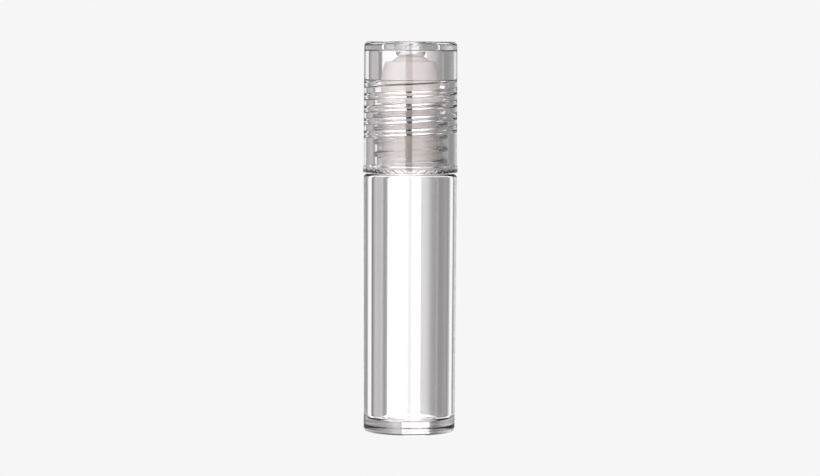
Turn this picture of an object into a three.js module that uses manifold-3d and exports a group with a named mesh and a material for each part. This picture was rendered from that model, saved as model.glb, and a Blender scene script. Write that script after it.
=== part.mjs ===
// A clear roll-on lip gloss tube: a thick-walled bottle, a milky roller housing plugged into its neck,
// the ball that the housing holds, and a clear screw cap with a long inner thread and a soft seal in its
// roof.
// Millimetres, +Z up. The origin is the middle of the base; the front of the tube faces -Y.
import * as THREE from "three";
import { mergeVertices } from "three/addons/utils/BufferGeometryUtils.js";
import Module from "manifold-3d";

// ---- driving dimensions ----
const ROUND = 40; // facets round a turned piece, and steps in one turn of a thread

const BOTTLE = {
  baseRadius: 9.65, // the outside drafts in a little towards the base
  shoulderRadius: 9.85,
  shoulderZ: 54.5,
  shoulderCorner: 0.75,
  baseCorner: 1.0,
  footInner: 6.9, // the flat foot ring is outside this radius
  dishRadius: 6.5,
  dishDepth: 0.35,
  floorZ: 2.6,
  domeHeight: 0.8, // the floor rises to its middle
  floorCorner: 0.9,
  boreFloorRadius: 6.1,
  boreRadius: 6.2,
  collarRadius: 7.8,
  collarZ: 55.1,
  neckRadius: 7.0,
  neckZ: 69.0,
  neckEdge: 0.3,
};

// Both threads are right-hand and share a pitch. In the closed cap, each turn of its thread lies between
// two turns of the neck's. Widths are heights along the axis.
const PITCH = 2.63;
const NECK_THREAD = {
  wall: BOTTLE.neckRadius,
  crest: 7.9,
  startAngle: THREE.MathUtils.degToRad(-139),
  startZ: 56.2,
  turns: 4.3,
  baseWidth: 1.3,
  crestWidth: 0.6,
};
const CAP_THREAD = {
  wall: 8.15,
  crest: 7.7,
  startAngle: THREE.MathUtils.degToRad(90),
  startZ: 62.07,
  turns: 4.9, // its last half turn runs into the step where the bore narrows
  baseWidth: 1.44,
  crestWidth: 0.54,
};

const BALL = { radius: 5.0, z: 75.0 };

const HOUSING = {
  socketGap: 0.2, // running gap round the ball
  lipZ: 78.1,
  lipRadius: 5.2,
  waistZ: 74.5,
  waistRadius: 6.2,
  waistFillet: 0.5, // height of the fillet between flange and waist
  waistCurve: [
    [0.16, 1.0], // how far the outside has drawn in, at a height above the waist
    [0.42, 2.0],
    [0.75, 2.9],
  ],
  flangeRadius: 7.0,
  flangeBottom: 69.3,
  flangeTop: 71.1,
  edge: 0.4, // round of the flange and of the lip
  lipDraw: 0.25, // the lip's round is centred this far inside its radius
  plugRadius: 5.95,
  plugBottom: 55.5,
  plugWall: 0.9,
  plugLead: 0.6, // height of the chamfer that leads the plug in
  bead: 6.1, // two beads seal the plug in the neck
  beadInset: 2.2, // from each end of the plug to the middle of a bead
  beadHalf: 0.5,
  beadFlat: 0.2,
  webZ: 69.2, // the wall under the ball
  webSlope: 0.8,
  feedRadius: 3.0, // the hole in that wall
};

const CAP = {
  bottomZ: 54.8,
  topZ: 82.3,
  topRadius: 9.83,
  topCorner: 1.05,
  radius: 9.86, // just above the bead
  beadRadius: 10.0,
  beadTop: 56.2,
  edge: 0.15, // chamfer of the bead
  boreRadius: CAP_THREAD.wall,
  stepZ: 74.1, // the bore narrows here
  stepEdge: 0.3,
  upperBore: 7.15,
  roofZ: 80.5,
  roofCorner: 0.4,
  toothCount: 30,
  toothHeight: 0.7,
  toothOuter: 9.45, // the teeth are cut from the bore out to this radius
};

const SEAL = {
  seatZ: 80.65,
  topZ: 81.2,
  innerRadius: 2.5,
  outerRadius: 3.6,
  lipOuter: 3.3,
  lipInner: 2.75,
  tipOuter: 3.0,
  tipInner: 2.85,
  tipZ: 79.3,
  seatGap: 0.3,
};

const THREAD_ROOT = 0.4; // how deep a thread is rooted in its wall
const THREAD_FADE = 0.1; // turns over which it rises

const wasm = await Module();
wasm.setup();

// ---- small tools ----

// Points on an arc in the radius-height plane, angles in degrees from the outward direction.
function arc(radius, height, size, from, to, steps) {
  return Array.from({ length: steps + 1 }, (_, i) => {
    const a = THREE.MathUtils.degToRad(from + ((to - from) * i) / steps);
    return [radius + size * Math.cos(a), height + size * Math.sin(a)];
  });
}

// Points on a shallow dome, from its rim in to the axis.
function dome(rim, height, rise, steps) {
  const ball = (rim * rim + rise * rise) / (2 * rise);
  return Array.from({ length: steps }, (_, i) => {
    const radius = rim * (1 - (i + 1) / steps);
    return [radius, height + rise - ball + Math.sqrt(ball * ball - radius * radius)];
  });
}

// A turned piece: its half section, listed up the outside and down the inside, spun round Z.
function turned(section, facets = ROUND) {
  const points = section.map(([r, z]) => new THREE.Vector2(r, z));
  return new THREE.LatheGeometry(points, facets).rotateX(Math.PI / 2);
}

function toSolid(geometry) {
  const bare = new THREE.BufferGeometry();
  bare.setAttribute("position", geometry.getAttribute("position"));
  if (geometry.index) bare.setIndex(geometry.index);
  const merged = mergeVertices(bare, 1e-4);
  return new wasm.Manifold(
    new wasm.Mesh({
      numProp: 3,
      vertProperties: new Float32Array(merged.getAttribute("position").array),
      triVerts: new Uint32Array(merged.index.array),
    }),
  );
}

function toGeometry(solid) {
  const { vertProperties, triVerts } = solid.getMesh();
  const geometry = new THREE.BufferGeometry();
  geometry.setAttribute("position", new THREE.BufferAttribute(vertProperties, 3));
  geometry.setIndex(new THREE.BufferAttribute(triVerts, 1));
  return geometry;
}

// A thread: a bar of trapezoid section wound into a right-hand helix round Z. It is rooted inside its
// wall, and its crest rises from the wall over the first and last few steps.
function thread({ wall, crest, startAngle, startZ, turns, baseWidth, crestWidth }) {
  const outward = Math.sign(crest - wall);
  const root = wall - outward * THREAD_ROOT;
  const rootWidth = baseWidth + ((baseWidth - crestWidth) * THREAD_ROOT) / Math.abs(crest - wall);
  const section = new THREE.Shape([
    new THREE.Vector2(-rootWidth / 2, root),
    new THREE.Vector2(rootWidth / 2, root),
    new THREE.Vector2(crestWidth / 2, crest),
    new THREE.Vector2(-crestWidth / 2, crest),
  ]);
  const length = turns * 2 * Math.PI;
  const bar = new THREE.ExtrudeGeometry(section, {
    depth: length,
    steps: Math.round(turns * ROUND),
    bevelEnabled: false,
  });
  const points = bar.getAttribute("position");
  for (let i = 0; i < points.count; i++) {
    const along = points.getZ(i);
    const fromEnd = Math.min(along, length - along) / (2 * Math.PI * THREAD_FADE);
    const atCrest = Math.abs(points.getY(i) - crest) < 1e-6;
    const start = wall - (outward * THREAD_ROOT) / 2;
    const radius = atCrest ? THREE.MathUtils.lerp(start, crest, Math.min(fromEnd, 1)) : root;
    const angle = startAngle + along;
    const height = startZ + points.getX(i) + (PITCH * along) / (2 * Math.PI);
    points.setXYZ(i, radius * Math.cos(angle), radius * Math.sin(angle), height);
  }
  return toSolid(bar);
}

function piece(name, geometry, color, roughness, opacity) {
  const material = new THREE.MeshStandardMaterial({ color, roughness, metalness: 0 });
  material.transparent = opacity < 1;
  material.opacity = opacity;
  const mesh = new THREE.Mesh(geometry, material);
  mesh.name = name;
  return mesh;
}

// ---- the pieces ----

function bottleSection() {
  const b = BOTTLE;
  return [
    [0, b.dishDepth],
    [b.dishRadius, b.dishDepth],
    [b.footInner, 0],
    ...arc(b.baseRadius - b.baseCorner, b.baseCorner, b.baseCorner, -90, 0, 4),
    ...arc(b.shoulderRadius - b.shoulderCorner, b.shoulderZ - b.shoulderCorner, b.shoulderCorner, 0, 90, 4),
    [b.collarRadius, b.shoulderZ],
    [b.collarRadius, b.collarZ],
    [b.neckRadius, b.collarZ],
    [b.neckRadius, b.neckZ - b.neckEdge],
    [b.neckRadius - b.neckEdge, b.neckZ],
    [b.boreRadius + b.neckEdge, b.neckZ],
    [b.boreRadius, b.neckZ - b.neckEdge],
    ...arc(b.boreFloorRadius - b.floorCorner, b.floorZ + b.floorCorner, b.floorCorner, 0, -90, 4),
    ...dome(b.boreFloorRadius - b.floorCorner, b.floorZ, b.domeHeight, 4),
  ];
}

function bottle() {
  return toGeometry(toSolid(turned(bottleSection())).add(thread(NECK_THREAD)));
}

function housingSection() {
  const h = HOUSING;
  const socket = BALL.radius + h.socketGap;
  const angleAt = (z) => THREE.MathUtils.radToDeg(Math.asin((z - BALL.z) / socket));
  const feedAngle = -THREE.MathUtils.radToDeg(Math.acos(h.feedRadius / socket));
  const beads = [h.plugBottom + h.beadInset, h.flangeBottom - h.beadInset].flatMap((z) => [
    [h.plugRadius, z - h.beadHalf],
    [h.bead, z - h.beadFlat],
    [h.bead, z + h.beadFlat],
    [h.plugRadius, z + h.beadHalf],
  ]);
  return [
    [h.feedRadius, h.webZ],
    [h.plugRadius - h.plugWall, h.webZ - h.webSlope],
    [h.plugRadius - h.plugWall, h.plugBottom],
    [h.plugRadius - h.plugLead / 2, h.plugBottom],
    [h.plugRadius, h.plugBottom + h.plugLead],
    ...beads,
    [h.plugRadius, h.flangeBottom],
    [h.flangeRadius, h.flangeBottom],
    ...arc(h.flangeRadius - h.edge, h.flangeTop - h.edge, h.edge, 0, 90, 3),
    [h.waistRadius + h.waistFillet / 5, h.flangeTop + h.waistFillet / 10],
    [h.waistRadius, h.flangeTop + h.waistFillet],
    [h.waistRadius, h.waistZ],
    ...h.waistCurve.map(([drawn, up]) => [h.waistRadius - drawn, h.waistZ + up]),
    ...arc(h.lipRadius - h.lipDraw, h.lipZ - h.edge, h.edge, 10, 90, 4),
    ...arc(0, BALL.z, socket, angleAt(h.lipZ), feedAngle, 9),
    [h.feedRadius, h.webZ],
  ];
}

function sealSection() {
  const s = SEAL;
  return [
    [s.innerRadius, s.seatZ],
    [s.lipInner, s.seatZ],
    [s.tipInner, s.tipZ],
    [s.tipOuter, s.tipZ],
    [s.lipOuter, s.seatZ],
    [s.outerRadius, s.seatZ],
    [s.outerRadius, s.topZ],
    [s.innerRadius, s.topZ],
    [s.innerRadius, s.seatZ],
  ];
}

function capSection() {
  const c = CAP;
  const seatTop = SEAL.topZ + SEAL.seatGap;
  const seatOut = SEAL.outerRadius + SEAL.seatGap;
  const seatIn = SEAL.innerRadius - SEAL.seatGap;
  return [
    [0, c.roofZ],
    [seatIn, c.roofZ],
    [seatIn, seatTop],
    [seatOut, seatTop],
    [seatOut, c.roofZ],
    [c.upperBore - c.roofCorner, c.roofZ],
    [c.upperBore, c.roofZ - c.roofCorner],
    [c.upperBore, c.stepZ + c.stepEdge],
    [c.upperBore + c.stepEdge, c.stepZ],
    [c.boreRadius, c.stepZ],
    [c.boreRadius, c.bottomZ],
    [c.beadRadius - c.edge, c.bottomZ],
    [c.beadRadius, c.bottomZ + c.edge],
    [c.beadRadius, c.beadTop - c.edge],
    [c.radius, c.beadTop],
    ...arc(c.topRadius - c.topCorner, c.topZ - c.topCorner, c.topCorner, 0, 90, 5),
    [0, c.topZ],
  ];
}

// One V notch, cut into the bottom rim from the bore outwards. The cutter starts below the rim and
// inside the bore.
function toothNotch(index) {
  const spacing = (2 * Math.PI) / CAP.toothCount;
  const slope = CAP.toothHeight / ((spacing / 2) * CAP.toothOuter);
  const low = -CAP.toothHeight / 3;
  const notch = new THREE.Shape([
    new THREE.Vector2((low - CAP.toothHeight) / slope, low),
    new THREE.Vector2((CAP.toothHeight - low) / slope, low),
    new THREE.Vector2(0, CAP.toothHeight),
  ]);
  const depth = CAP.toothOuter - BOTTLE.collarRadius;
  const cutter = new THREE.ExtrudeGeometry(notch, { depth, bevelEnabled: false });
  cutter.rotateX(Math.PI / 2).translate(0, CAP.toothOuter, CAP.bottomZ);
  return toSolid(cutter.rotateZ(spacing * index));
}

function cap() {
  let shell = toSolid(turned(capSection())).add(thread(CAP_THREAD));
  for (let i = 0; i < CAP.toothCount; i++) {
    shell = shell.subtract(toothNotch(i));
  }
  return toGeometry(shell);
}

function ball() {
  const sphere = new THREE.SphereGeometry(BALL.radius, 32, 16);
  return sphere.rotateX(Math.PI / 2).translate(0, 0, BALL.z);
}

// ---- the assembly ----
const tube = new THREE.Group();
tube.add(
  piece("bottle", bottle(), 0xf1f3f4, 0.05, 0.35),
  piece("roller_housing", turned(housingSection()), 0xe9e2de, 0.4, 0.9),
  piece("roller_ball", ball(), 0xf0ece8, 0.3, 1),
  piece("cap_seal", turned(sealSection()), 0xdfe1e3, 0.25, 0.6),
  piece("cap", cap(), 0xeef0f1, 0.05, 0.35),
);

export default tube;
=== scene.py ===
import math

import bmesh
import bpy
from mathutils import Matrix, Vector


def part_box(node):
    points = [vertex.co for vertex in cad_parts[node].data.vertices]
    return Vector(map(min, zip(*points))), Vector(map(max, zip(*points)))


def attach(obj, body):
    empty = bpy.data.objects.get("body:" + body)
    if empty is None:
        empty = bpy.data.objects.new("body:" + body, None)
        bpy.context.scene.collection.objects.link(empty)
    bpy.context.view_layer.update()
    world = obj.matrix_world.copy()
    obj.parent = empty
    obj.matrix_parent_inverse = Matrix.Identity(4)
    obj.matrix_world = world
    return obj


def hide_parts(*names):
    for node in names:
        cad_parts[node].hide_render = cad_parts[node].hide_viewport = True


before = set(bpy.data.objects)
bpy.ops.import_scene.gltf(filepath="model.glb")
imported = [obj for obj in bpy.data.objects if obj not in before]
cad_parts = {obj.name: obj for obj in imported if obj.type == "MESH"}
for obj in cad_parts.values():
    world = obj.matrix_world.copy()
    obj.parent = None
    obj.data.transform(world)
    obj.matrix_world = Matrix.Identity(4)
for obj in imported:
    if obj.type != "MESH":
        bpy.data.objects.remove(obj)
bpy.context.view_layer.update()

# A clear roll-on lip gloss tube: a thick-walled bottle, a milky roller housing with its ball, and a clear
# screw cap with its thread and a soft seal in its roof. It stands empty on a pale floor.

MM = 0.001
TURN = 2 * math.pi
UP = Vector((0, 0, 1))

# ---- places taken from the frame, in millimetres ----


def heights(node):
    low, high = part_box(node)
    return low[2] / MM, high[2] / MM


def radius_of(node):
    low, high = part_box(node)
    return (high[0] - low[0]) / 2 / MM


NECK_TOP = heights("bottle")[1]
SHOULDER_RADIUS = radius_of("bottle")
PLUG_BOTTOM, LIP_TOP = heights("roller_housing")
FLANGE_RADIUS = radius_of("roller_housing")
BALL_BOTTOM, BALL_TOP = heights("roller_ball")
BALL_RADIUS = radius_of("roller_ball")
BALL_HEIGHT = (BALL_BOTTOM + BALL_TOP) / 2
SEAL_BOTTOM, SEAL_TOP = heights("cap_seal")
SEAL_RADIUS = radius_of("cap_seal")
CAP_BOTTOM, CAP_TOP = heights("cap")
BEAD_RADIUS = radius_of("cap")

# ---- driving dimensions, in millimetres ----

ROUND_STEPS = 240  # a multiple of the tooth count, so that each tooth has its own points

BASE_RADIUS = 9.65
BASE_CORNER = 1.0
FOOT_INNER = 6.9
DISH_RADIUS = 6.5
DISH_DEPTH = 0.35
SHOULDER = 54.5
SHOULDER_CORNER = 0.75
FLOOR = 2.6
DOME_HEIGHT = 0.8
FLOOR_CORNER = 0.9
BORE_FLOOR_RADIUS = 6.1
BORE_RADIUS = 6.2
COLLAR_RADIUS = 7.8
COLLAR_TOP = 55.1
NECK_RADIUS = 7.0

THREAD_PITCH = 2.63
THREAD_FADE = 0.12  # turns over which a thread rises from nothing
NECK_THREAD = {
    "start": math.radians(-139),
    "start_height": 56.2,
    "turns": 4.3,
    "wall": NECK_RADIUS,
    "crest": 7.9,
    "flat": 0.3,  # half the width of its flat crest
    "foot": 0.65,  # half its width at the wall
    "ease": 0.08,  # how far each of its edges is rounded
}

CAP_TOP_RADIUS = 9.83
CAP_CORNER = 1.05
CAP_RADIUS = 9.86  # just above the bead
BEAD_TOP = 56.2
CAP_BORE = 8.15
CAP_STEP = 74.1  # the bore narrows here
CAP_UPPER_BORE = 7.15
CAP_ROOF = 80.5
CAP_THREAD = {
    "start": math.radians(90),
    "start_height": 62.07,
    "turns": 4.9,
    "wall": CAP_BORE,
    "crest": 7.7,
    "flat": 0.27,
    "foot": 0.72,
    "ease": 0.04,
}
TOOTH_COUNT = 30
TOOTH_HEIGHT = 0.7
TOOTH_OUTER = 9.45  # the teeth lie inside this radius

SOCKET_GAP = 0.2  # between ball and socket
FEED_RADIUS = 3.0  # the hole under the ball
FLANGE_BOTTOM = NECK_TOP + 0.3
FLANGE_TOP = NECK_TOP + 2.1
WEB = FLANGE_BOTTOM - 0.1  # underside of the wall round the feed hole
WEB_SLOPE = 0.8
WAIST_RADIUS = 6.2
PLUG_RADIUS = 5.95
PLUG_INNER = 5.05
PLUG_BEAD = 6.1

SEAT_GAP = 0.3  # between the seal and its seat in the roof
SEAL_INNER = 2.5
SEAL_FLANGE = 0.55  # its thickness

JOIN = 0.1  # height of the ring between a turned part and a threaded wall
SAME = 0.002  # points nearer than this are one

# ---- mesh tools ----


def corner_arc(before, corner, after, size, steps):
    """Points of the round that replaces a corner, touching both of its sides."""
    to_before = (Vector(before) - Vector(corner)).normalized()
    to_after = (Vector(after) - Vector(corner)).normalized()
    half = to_before.angle(to_after) / 2
    reach = size / math.tan(half)
    centre = Vector(corner) + (to_before + to_after).normalized() * (size / math.sin(half))
    start = Vector(corner) + to_before * reach - centre
    end = Vector(corner) + to_after * reach - centre
    sweep = start.angle_signed(end)
    turns = [Matrix.Rotation(-sweep * i / steps, 2) for i in range(steps + 1)]
    return [tuple(centre + turn @ start) for turn in turns]


def rounded(corners, steps=6):
    """A (radius, height) outline from corners (radius, height, round). The long straight spans get a
    point near each end, so that smooth shading stays flat along them."""
    points = []
    for i, (radius, height, size) in enumerate(corners):
        if size == 0 or i in (0, len(corners) - 1):
            points.append((radius, height))
        else:
            before, after = corners[i - 1][:2], corners[i + 1][:2]
            points += corner_arc(before, (radius, height), after, size, steps)
    held = [points[0]]
    hold = 0.06
    for a, b in zip(points, points[1:]):
        a, b = Vector(a), Vector(b)
        if (b - a).length > 6 * hold:
            along = (b - a).normalized() * hold
            held += [tuple(a + along), tuple(b - along)]
        held.append(tuple(b))
    return held


def arc(centre, size, start, end, steps):
    """Points on a round about a point of the axis plane, angles in degrees above the horizontal."""
    angles = [math.radians(start + (end - start) * i / steps) for i in range(steps + 1)]
    return [(centre[0] + size * math.cos(a), centre[1] + size * math.sin(a)) for a in angles]


def dome(rim, height, rise, steps):
    """Points of a shallow dome, from its rim in to the axis."""
    ball = (rim * rim + rise * rise) / (2 * rise)
    inward = [rim * (1 - i / steps) for i in range(1, steps + 1)]
    return [(radius, height + rise - ball + math.sqrt(ball * ball - radius * radius)) for radius in inward]


def turned_part(outline):
    """Spins a (radius, height) outline once round the Z axis."""
    bm = bmesh.new()
    verts = [bm.verts.new((radius * MM, 0, height * MM)) for radius, height in outline]
    edges = [bm.edges.new(pair) for pair in zip(verts, verts[1:])]
    bmesh.ops.spin(
        bm,
        geom=verts + edges,
        cent=(0, 0, 0),
        axis=UP,
        angle=TURN,
        steps=ROUND_STEPS,
        use_merge=True,
    )
    return bm


def smooth_step(low, high, value):
    t = min(max((value - low) / (high - low), 0), 1)
    return t * t * (3 - 2 * t)


def eased_ramp(reach, length, ease):
    """0 below the start of a ramp and 1 past its length, with both of its corners eased."""
    rise = 0
    for corner, sign in ((0, 1), (length, -1)):
        past = min(max(reach - corner + ease, 0), 2 * ease)
        rise += sign * (past * past / (4 * ease) + max(reach - corner - ease, 0))
    return rise / length


def helix_wall(low, high, thread):
    """A round wall between two heights that carries one right-hand thread. Its rows of points follow the
    helix, close together where the thread's section bends."""
    bm = bmesh.new()
    flat, foot, ease = thread["flat"], thread["foot"], thread["ease"]
    start, start_height = thread["start"], thread["start_height"]
    near = [flat - ease, flat, flat + ease, (flat + foot) / 2]
    near += [foot - ease, foot, foot + ease, foot + 3 * ease]
    rows = [-THREAD_PITCH / 2] + [-x for x in reversed(near)] + [0] + near + [THREAD_PITCH / 2]
    below = math.ceil((start_height - low) / THREAD_PITCH) + 1
    above = math.ceil((high - start_height) / THREAD_PITCH) + 1
    lowest = start_height - below * THREAD_PITCH
    verts = [
        bm.verts.new((math.cos(start) * MM, math.sin(start) * MM, (lowest + row) * MM)) for row in rows
    ]
    edges = [bm.edges.new(pair) for pair in zip(verts, verts[1:])]
    bmesh.ops.spin(
        bm,
        geom=verts + edges,
        cent=(0, 0, 0),
        axis=UP,
        dvec=(0, 0, THREAD_PITCH * MM / ROUND_STEPS),
        angle=TURN,
        steps=ROUND_STEPS,
    )
    one_turn = bm.verts[:] + bm.edges[:] + bm.faces[:]
    for i in range(1, below + above):
        copied = bmesh.ops.duplicate(bm, geom=one_turn)["geom"]
        raised = [g for g in copied if isinstance(g, bmesh.types.BMVert)]
        bmesh.ops.translate(bm, vec=(0, 0, i * THREAD_PITCH * MM), verts=raised)
    bmesh.ops.remove_doubles(bm, verts=bm.verts[:], dist=SAME * MM)
    for height, side in ((low, "clear_inner"), (high, "clear_outer")):
        bmesh.ops.bisect_plane(
            bm,
            geom=bm.verts[:] + bm.edges[:] + bm.faces[:],
            dist=0.0001 * MM,
            plane_co=(0, 0, height * MM),
            plane_no=UP,
            **{side: True},
        )
    for vert in bm.verts:
        angle = math.atan2(vert.co.y, vert.co.x)
        first = (angle - start) % TURN / TURN
        row = (vert.co.z / MM - start_height) / THREAD_PITCH - first
        along = round(row) + first
        off = abs(row - round(row)) * THREAD_PITCH
        ends = smooth_step(0, THREAD_FADE, along) * smooth_step(0, THREAD_FADE, thread["turns"] - along)
        relief = ends * eased_ramp(foot - off, foot - flat, ease)
        radius = thread["wall"] + (thread["crest"] - thread["wall"]) * relief
        vert.co.x = radius * math.cos(angle) * MM
        vert.co.y = radius * math.sin(angle) * MM
    return bm


def ends_at(bm, height):
    """The open edges at a height."""
    return [
        e
        for e in bm.edges
        if len(e.link_faces) == 1 and all(abs(v.co.z / MM - height) < 0.02 for v in e.verts)
    ]


def stack(parts, joins):
    """One mesh from parts that are each a bmesh, bridged across the small steps between their ends."""
    bm = bmesh.new()
    for part in parts:
        mesh = bpy.data.meshes.new("part")
        part.to_mesh(mesh)
        part.free()
        bm.from_mesh(mesh)
        bpy.data.meshes.remove(mesh)
    bmesh.ops.remove_doubles(bm, verts=bm.verts[:], dist=SAME * MM)
    for low, high in joins:
        bmesh.ops.bridge_loops(bm, edges=ends_at(bm, low) + ends_at(bm, high))
    return bm


SHARPEST_SMOOTH = math.radians(40)


def finished(bm, name, node, body, material):
    """Turns a closed mesh into a shown piece that stands for a CAD node."""
    bmesh.ops.remove_doubles(bm, verts=bm.verts[:], dist=SAME * MM)
    bmesh.ops.recalc_face_normals(bm, faces=bm.faces[:])
    if bm.calc_volume(signed=True) < 0:
        bmesh.ops.reverse_faces(bm, faces=bm.faces[:])
    for face in bm.faces:
        face.smooth = True
    for edge in bm.edges:
        edge.smooth = edge.calc_face_angle(0) < SHARPEST_SMOOTH
    mesh = bpy.data.meshes.new(name)
    bm.to_mesh(mesh)
    bm.free()
    mesh.materials.append(material)
    piece = bpy.data.objects.new(name, mesh)
    bpy.context.scene.collection.objects.link(piece)
    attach(piece, body)
    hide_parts(node)


# ---- materials ----


def linear(colour):
    """The linear values of an sRGB hex colour."""
    parts = [int(colour[i : i + 2], 16) / 255 for i in (1, 3, 5)]
    return [c / 12.92 if c <= 0.04045 else ((c + 0.055) / 1.055) ** 2.4 for c in parts] + [1]


def add(tree, kind, inputs=None, **settings):
    """Adds a node. An input is a value, or the output of another node to link to it."""
    node = tree.nodes.new(kind)
    for name, value in settings.items():
        setattr(node, name, value)
    for name, value in (inputs or {}).items():
        if isinstance(value, bpy.types.NodeSocket):
            tree.links.new(value, node.inputs[name])
        else:
            node.inputs[name].default_value = value
    return node


def new_material(name):
    material = bpy.data.materials.new(name)
    material.use_nodes = True
    material.node_tree.nodes.clear()
    return material, material.node_tree


def object_point(tree):
    return add(tree, "ShaderNodeTexCoord").outputs["Object"]


def clear_plastic(name, tint, ior, flow_mm, wave, least_rough, most_rough):
    """Clear moulded plastic. The melt leaves a slow waviness in the surface, so that lights bend softly
    in it, and handling leaves faint dull patches."""
    material, tree = new_material(name)
    point = object_point(tree)
    flow = add(tree, "ShaderNodeTexNoise", {"Vector": point, "Scale": 1 / (flow_mm * MM), "Detail": 2.0})
    bump = add(
        tree, "ShaderNodeBump", {"Height": flow.outputs["Fac"], "Strength": wave, "Distance": 0.05 * MM}
    )
    haze = add(tree, "ShaderNodeTexNoise", {"Vector": point, "Scale": 1 / (6 * MM), "Detail": 4.0})
    dull = {"Value": haze.outputs["Fac"], "From Min": 0.4, "From Max": 0.7}
    dull |= {"To Min": least_rough, "To Max": most_rough}
    rough = add(tree, "ShaderNodeMapRange", dull)
    plastic = add(
        tree,
        "ShaderNodeBsdfPrincipled",
        {
            "Base Color": linear(tint),
            "IOR": ior,
            "Transmission Weight": 1.0,
            "Roughness": rough.outputs["Result"],
            "Normal": bump.outputs["Normal"],
        },
    )
    add(tree, "ShaderNodeOutputMaterial", {"Surface": plastic.outputs["BSDF"]})
    return material


def milky_plastic(name, colour, shade, roughness, depth_mm, grain_mm):
    """Natural polyolefin, moulded. Light sinks in and spreads, so its shading is soft and its edges glow,
    and a fine spark-eroded grain keeps its highlights satin."""
    material, tree = new_material(name)
    point = object_point(tree)
    cloud = add(tree, "ShaderNodeTexNoise", {"Vector": point, "Scale": 1 / (3 * MM), "Detail": 3.0})
    shades = {"Fac": cloud.outputs["Fac"], "Color1": linear(colour), "Color2": linear(shade)}
    tone = add(tree, "ShaderNodeMixRGB", shades)
    grain = add(tree, "ShaderNodeTexNoise", {"Vector": point, "Scale": 1 / (grain_mm * MM), "Detail": 2.0})
    bump = add(
        tree, "ShaderNodeBump", {"Height": grain.outputs["Fac"], "Strength": 0.15, "Distance": 0.02 * MM}
    )
    plastic = add(
        tree,
        "ShaderNodeBsdfPrincipled",
        {
            "Base Color": tone.outputs["Color"],
            "IOR": 1.51,
            "Roughness": roughness,
            "Subsurface Weight": 0.85,
            "Subsurface Radius": (1.0, 0.9, 0.85),
            "Subsurface Scale": depth_mm * MM,
            "Normal": bump.outputs["Normal"],
        },
    )
    add(tree, "ShaderNodeOutputMaterial", {"Surface": plastic.outputs["BSDF"]})
    return material


# The bottle: water-clear, thick enough for its wall to bend the studio into bright side lines.
COPOLYESTER = clear_plastic("clear_copolyester", "#fefefe", 1.57, 9, 0.12, 0.0, 0.02)
# The cap: as clear, a little wavier, so that the lights in it are softer.
STYRENE = clear_plastic("clear_styrene_copolymer", "#fefdfd", 1.57, 7, 0.15, 0.0, 0.03)
# The seal: soft and slightly frosted, which makes it read as a grey ring under the roof.
ELASTOMER = clear_plastic("clear_soft_elastomer", "#f2f3f3", 1.45, 2, 0.3, 0.08, 0.2)
# The housing: warm and milky, with a satin face.
POLYETHYLENE = milky_plastic("natural_polyethylene", "#fdf1ec", "#faebe5", 0.38, 2.2, 0.12)
# The ball: whiter and smoother than its housing.
POLYPROPYLENE = milky_plastic("natural_polypropylene", "#fdf4f0", "#faeeea", 0.22, 1.6, 0.08)

# ---- the bottle ----


def make_bottle():
    thread_low, thread_high = 55.4, 68.4
    mouth_round = 0.3
    rim = BORE_FLOOR_RADIUS - FLOOR_CORNER
    below = rounded(
        [
            (0, DISH_DEPTH, 0),
            (DISH_RADIUS, DISH_DEPTH, 0.15),
            (FOOT_INNER, 0, 0.12),
            (BASE_RADIUS, 0, BASE_CORNER),
            (SHOULDER_RADIUS, SHOULDER, SHOULDER_CORNER),
            (COLLAR_RADIUS, SHOULDER, 0.12),
            (COLLAR_RADIUS, COLLAR_TOP, 0.12),
            (NECK_RADIUS, COLLAR_TOP, 0.15),
            (NECK_RADIUS, thread_low - JOIN, 0),
        ]
    )
    above = rounded(
        [
            (NECK_RADIUS, thread_high + JOIN, 0),
            (NECK_RADIUS, NECK_TOP, mouth_round),
            (BORE_RADIUS, NECK_TOP, mouth_round),
            (BORE_FLOOR_RADIUS, FLOOR, FLOOR_CORNER),
            (rim, FLOOR, 0),
        ]
    )
    above += dome(rim, FLOOR, DOME_HEIGHT, 12)
    wall = helix_wall(thread_low, thread_high, NECK_THREAD)
    joins = [(thread_low - JOIN, thread_low), (thread_high, thread_high + JOIN)]
    bm = stack([turned_part(below), wall, turned_part(above)], joins)
    finished(bm, "clear_bottle", "bottle", "tube", COPOLYESTER)


# ---- the roller housing and its ball ----


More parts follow.
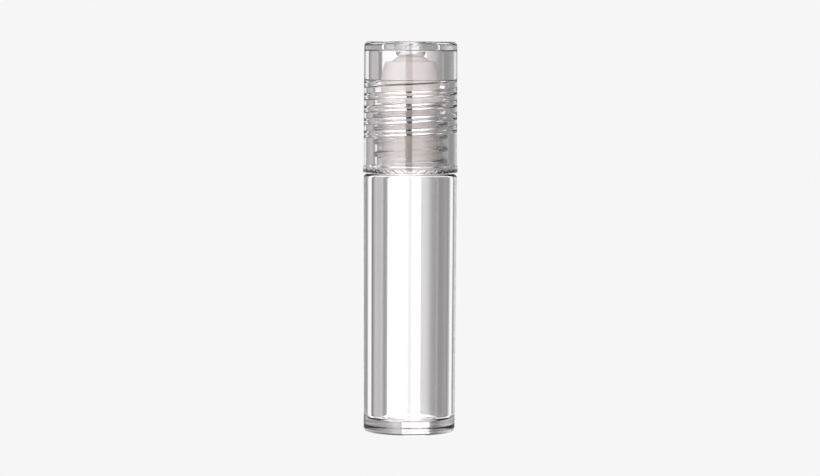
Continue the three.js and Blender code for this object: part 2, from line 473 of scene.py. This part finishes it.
def make_housing():
    socket = BALL_RADIUS + SOCKET_GAP
    lip_angle = math.degrees(math.asin((LIP_TOP - BALL_HEIGHT) / socket))
    feed_angle = -math.degrees(math.acos(FEED_RADIUS / socket))
    outside = [
        (FEED_RADIUS, WEB, 0),
        (PLUG_INNER, WEB - WEB_SLOPE, 0.3),
        (PLUG_INNER, PLUG_BOTTOM, 0.1),
        (PLUG_RADIUS - 0.3, PLUG_BOTTOM, 0.1),
        (PLUG_RADIUS, PLUG_BOTTOM + 0.6, 0.2),
    ]
    for middle in (PLUG_BOTTOM + 2.2, FLANGE_BOTTOM - 2.2):
        outside += [
            (PLUG_RADIUS, middle - 0.5, 0.1),
            (PLUG_BEAD, middle - 0.15, 0.12),
            (PLUG_BEAD, middle + 0.15, 0.12),
            (PLUG_RADIUS, middle + 0.5, 0.1),
        ]
    outside += [
        (PLUG_RADIUS, FLANGE_BOTTOM, 0.1),
        (FLANGE_RADIUS, FLANGE_BOTTOM, 0.15),
        (FLANGE_RADIUS, FLANGE_TOP, 0.5),
        (WAIST_RADIUS, FLANGE_TOP, 0.4),
        (WAIST_RADIUS, 74.5, 1.2),
        (5.78, 76.5, 1.5),
        (5.3, LIP_TOP, 0.35),
        (socket * math.cos(math.radians(lip_angle)), LIP_TOP, 0),
    ]
    cup = arc((0, BALL_HEIGHT), socket, lip_angle, feed_angle, 24)
    bm = turned_part(rounded(outside, 5) + cup[1:] + [(FEED_RADIUS, WEB)])
    finished(bm, "milky_roller_housing", "roller_housing", "tube", POLYETHYLENE)


def make_ball():
    bm = bmesh.new()
    middle = Matrix.Translation((0, 0, BALL_HEIGHT * MM))
    bmesh.ops.create_uvsphere(bm, u_segments=96, v_segments=48, radius=BALL_RADIUS * MM, matrix=middle)
    finished(bm, "white_roller_ball", "roller_ball", "ball", POLYPROPYLENE)


# ---- the cap and its seal ----


def cut_teeth(bm):
    """Raises the inner part of the rim into a row of V notches."""
    for vert in bm.verts:
        radius = math.hypot(vert.co.x, vert.co.y) / MM
        if vert.co.z / MM < CAP_BOTTOM + 0.11 and radius < TOOTH_OUTER - 0.005:
            angle = math.atan2(vert.co.y, vert.co.x) / TURN * TOOTH_COUNT
            from_valley = abs(angle - math.floor(angle) - 0.5) * 2
            vert.co.z += TOOTH_HEIGHT * (1 - from_valley) * MM


def make_cap():
    thread_low, thread_high = 60.9, 73.9
    seat_top = SEAL_TOP + SEAT_GAP
    seat_outer, seat_inner = SEAL_RADIUS + SEAT_GAP, SEAL_INNER - SEAT_GAP
    outside = rounded(
        [
            (0, CAP_TOP, 0),
            (CAP_TOP_RADIUS, CAP_TOP, CAP_CORNER),
            (CAP_RADIUS, BEAD_TOP + 0.1, 0.1),
            (BEAD_RADIUS, BEAD_TOP - 0.15, 0.12),
            (BEAD_RADIUS, CAP_BOTTOM, 0.15),
            (TOOTH_OUTER, CAP_BOTTOM, 0),
        ],
        8,
    )
    outside += [
        (TOOTH_OUTER - 0.02, CAP_BOTTOM),
        (CAP_BORE + 0.1, CAP_BOTTOM),
        (CAP_BORE, CAP_BOTTOM + 0.1),
        (CAP_BORE, CAP_BOTTOM + TOOTH_HEIGHT + 0.2),
        (CAP_BORE, thread_low - JOIN),
    ]
    inside = rounded(
        [
            (CAP_BORE, thread_high + JOIN, 0),
            (CAP_BORE, CAP_STEP, 0),
            (CAP_UPPER_BORE, CAP_STEP, 0.25),
            (CAP_UPPER_BORE, CAP_ROOF, 0.4),
            (seat_outer, CAP_ROOF, 0.08),
            (seat_outer, seat_top, 0.1),
            (seat_inner, seat_top, 0.1),
            (seat_inner, CAP_ROOF, 0.08),
            (0, CAP_ROOF, 0),
        ]
    )
    shell = turned_part(outside)
    cut_teeth(shell)
    wall = helix_wall(thread_low, thread_high, CAP_THREAD)
    joins = [(thread_low - JOIN, thread_low), (thread_high, thread_high + JOIN)]
    bm = stack([shell, wall, turned_part(inside)], joins)
    finished(bm, "clear_cap", "cap", "cap", STYRENE)


def make_seal():
    """A ring seated in the roof, with a lip that reaches down to the ball."""
    seat = SEAL_TOP - SEAL_FLANGE
    corners = [
        (SEAL_INNER, SEAL_TOP, 0),
        (SEAL_INNER, seat, 0.08),
        (2.75, seat, 0.05),
        (2.85, SEAL_BOTTOM, 0.05),
        (3.0, SEAL_BOTTOM, 0.05),
        (3.3, seat, 0.08),
        (SEAL_RADIUS, seat, 0.08),
        (SEAL_RADIUS, SEAL_TOP, 0.08),
        (SEAL_INNER, SEAL_TOP, 0),
    ]
    bm = turned_part(rounded(corners, 4))
    finished(bm, "clear_cap_seal", "cap_seal", "seal", ELASTOMER)


make_bottle()
make_housing()
make_ball()
make_seal()
make_cap()

# ---- floor, sky and camera ----

FLOOR_RADIUS = 110
FLOOR_DROP = 0.02  # how far the floor lies under the foot, so that the two never touch
BACKDROP = "#f6f6f6"
STUDIO_WHITE = "#fffcfd"


def make_floor():
    """A pale disc that shows the backdrop's own tone to the camera alone. The light that it would throw
    up is the sky's low glow."""
    bm = bmesh.new()
    below = Matrix.Translation((0, 0, -FLOOR_DROP * MM))
    bmesh.ops.create_circle(bm, cap_ends=True, segments=96, radius=FLOOR_RADIUS * MM, matrix=below)
    mesh = bpy.data.meshes.new("floor")
    bm.to_mesh(mesh)
    bm.free()
    material, tree = new_material("pale_floor")
    shown = add(tree, "ShaderNodeEmission", {"Color": linear(BACKDROP), "Strength": 1.0})
    lit = add(tree, "ShaderNodeBsdfTransparent")
    path = add(tree, "ShaderNodeLightPath")
    mix = add(
        tree,
        "ShaderNodeMixShader",
        {0: path.outputs["Is Camera Ray"], 1: lit.outputs["BSDF"], 2: shown.outputs["Emission"]},
    )
    add(tree, "ShaderNodeOutputMaterial", {"Surface": mix.outputs["Shader"]})
    mesh.materials.append(material)
    floor = bpy.data.objects.new("floor", mesh)
    bpy.context.scene.collection.objects.link(floor)


# Each light is a soft-edged rectangle on the sky: the bearings where it starts and ends, from straight
# behind the tube, the width of those two edges, the elevation of its middle, half its height, all in
# degrees, and its strength. The two front lights leave a dark gap where the camera stands, and the floor
# glow comes up from below on all sides.
LIGHTS = {
    "back_panel": (-20, 6.6, 1, 1, 0, 50, 0.62),
    "back_fade": (-22, 14, 10, 18, 0, 50, 0.42),
    "left_wall": (-88, -32, 20, 36, 0, 50, 0.46),
    "right_wall": (10, 95, 10, 30, 0, 50, 0.24),
    "front_left": (-167, -108, 3, 70, 12, 50, 2.35),
    "front_right": (122, 174.7, 70, 3, 12, 50, 1.85),
    "floor_glow": (-200, 200, 1, 1, -60, 38, 0.55),
}
AMBIENT = 0.06  # what the sky gives where no light is


def soft_edge(tree, angle, start, end, start_edge, end_edge):
    """1 between two angles, falling to 0 over the width of each edge."""
    rise = {"From Min": start - start_edge / 2, "From Max": start + start_edge / 2, "Value": angle}
    rise = add(tree, "ShaderNodeMapRange", rise, interpolation_type="SMOOTHSTEP").outputs["Result"]
    fall = {"From Min": end + end_edge / 2, "From Max": end - end_edge / 2, "Value": angle}
    fall = add(tree, "ShaderNodeMapRange", fall, interpolation_type="SMOOTHSTEP").outputs["Result"]
    return add(tree, "ShaderNodeMath", {0: rise, 1: fall}, operation="MULTIPLY").outputs[0]


def make_sky():
    world = bpy.data.worlds.new("studio")
    bpy.context.scene.world = world
    world.use_nodes = True
    tree = world.node_tree
    tree.nodes.clear()
    way = add(tree, "ShaderNodeSeparateXYZ", {0: add(tree, "ShaderNodeTexCoord").outputs["Generated"]})
    flat_way = {0: way.outputs["X"], 1: way.outputs["Y"]}
    bearing = add(tree, "ShaderNodeMath", flat_way, operation="ARCTAN2")
    bearing = add(tree, "ShaderNodeMath", {0: bearing.outputs[0]}, operation="DEGREES").outputs[0]
    height = add(tree, "ShaderNodeMath", {0: way.outputs["Z"]}, operation="ARCSINE")
    height = add(tree, "ShaderNodeMath", {0: height.outputs[0]}, operation="DEGREES").outputs[0]
    total = AMBIENT
    for start, end, start_edge, end_edge, rise, tall, strength in LIGHTS.values():
        across = soft_edge(tree, bearing, start, end, start_edge, end_edge)
        upright = soft_edge(tree, height, rise - tall, rise + tall, 6, 6)
        both = add(tree, "ShaderNodeMath", {0: across, 1: upright}, operation="MULTIPLY").outputs[0]
        sum_of = {0: both, 1: strength, 2: total}
        total = add(tree, "ShaderNodeMath", sum_of, operation="MULTIPLY_ADD").outputs[0]
    studio = add(tree, "ShaderNodeBackground", {"Color": linear(STUDIO_WHITE), "Strength": total})
    seen = add(tree, "ShaderNodeBackground", {"Color": linear(BACKDROP), "Strength": 1.0})
    path = add(tree, "ShaderNodeLightPath")
    mix = add(
        tree,
        "ShaderNodeMixShader",
        {0: path.outputs["Is Camera Ray"], 1: studio.outputs["Background"], 2: seen.outputs["Background"]},
    )
    add(tree, "ShaderNodeOutputWorld", {"Surface": mix.outputs["Shader"]})


def make_camera():
    """A long lens from in front, a little above the cap, looking down by under 4 degrees."""
    lens = bpy.data.cameras.new("camera")
    lens.lens = 144
    lens.sensor_width = 36
    camera = bpy.data.objects.new("camera", lens)
    bpy.context.scene.collection.objects.link(camera)
    place = Vector((0.00004, -0.69, 0.0837))
    aim = Vector((0.00004, 0, 0.0409))
    roll = math.radians(0.26)
    look = (aim - place).to_track_quat("-Z", "Y").to_matrix().to_4x4()
    camera.matrix_world = Matrix.Translation(place) @ look @ Matrix.Rotation(roll, 4, "Z")
    bpy.context.scene.camera = camera


make_floor()
make_sky()
make_camera()

scene = bpy.context.scene
scene.view_settings.view_transform = "Standard"
scene.cycles.max_bounces = 24
scene.cycles.diffuse_bounces = 10
scene.cycles.transmission_bounces = 20
scene.cycles.transparent_max_bounces = 24
scene.cycles.caustics_refractive = True
scene.cycles.caustics_reflective = True
